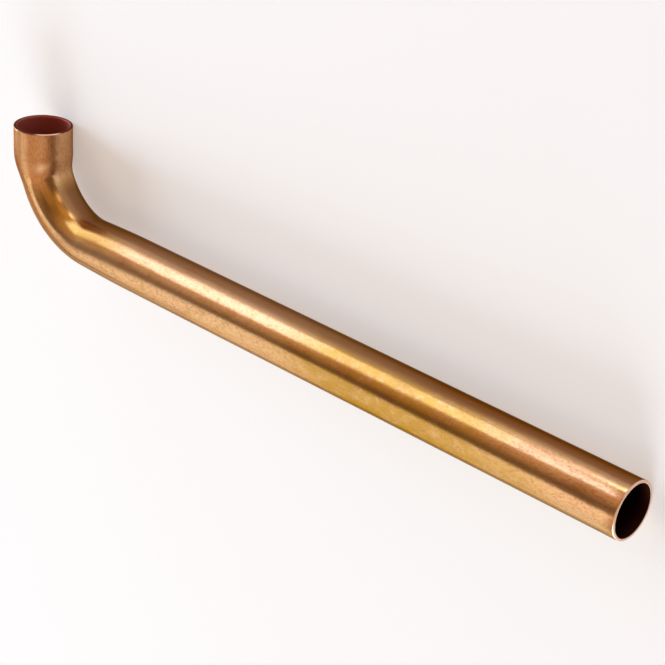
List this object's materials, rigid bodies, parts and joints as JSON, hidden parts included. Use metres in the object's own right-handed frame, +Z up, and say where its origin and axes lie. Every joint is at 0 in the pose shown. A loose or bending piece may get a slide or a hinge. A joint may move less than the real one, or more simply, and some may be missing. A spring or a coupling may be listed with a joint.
{
  "type": "street elbow",
  "caption": "Drawn copper street elbow: a solder socket at one end, a quarter-turn bend, and a long plain tail that fits into another socket.",
  "frame": {"origin": "centre of the socket mouth", "axes": "+Y out of the socket along its axis, +X along the tail toward its cut end, +Z up, square to the plane of the bend, with the elbow lying flat"},
  "size_m": [0.3171, 0.0535, 0.0246],
  "materials": {
    "copper": "bright drawn copper"
  },
  "bodies": {
    "root": {"street_elbow": "copper"}
  },
  "joints": []
}
